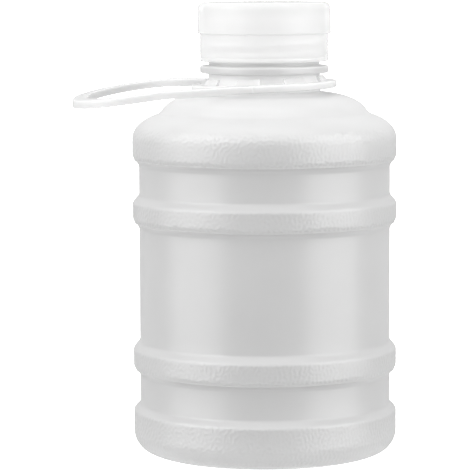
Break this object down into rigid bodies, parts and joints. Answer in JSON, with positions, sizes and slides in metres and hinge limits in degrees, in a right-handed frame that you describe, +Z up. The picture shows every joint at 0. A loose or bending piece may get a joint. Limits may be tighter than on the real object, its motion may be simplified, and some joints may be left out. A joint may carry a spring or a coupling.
{
  "type": "sports water bottle",
  "caption": "Jug-style drinking bottle with a frosted, banded body, a screw cap and a carry handle that turns round the neck.",
  "frame": {"origin": "middle of the flat base, on the bottle's axis and on the plane it stands on", "axes": "+Z up along the bottle's axis, -X towards the carry handle's loop, -Y towards the camera of the picture"},
  "size_m": [0.1225, 0.1, 0.1709],
  "materials": {
    "bottle": "frosted, slightly translucent natural polyethylene",
    "cap": "translucent moulded polypropylene with a soft sheen",
    "carry_handle": "satin white moulded polyethylene"
  },
  "bodies": {
    "bottle_body": {"bottle": "bottle", "cap": "cap"},
    "handle_body": {"carry_handle": "carry_handle"}
  },
  "joints": [
    {"name": "handle_swivel", "type": "hinge", "parent": "bottle_body", "child": "handle_body", "pos_m": [0, 0, 0.13915], "axis": [0, 0, 1], "continuous": true}
  ]
}
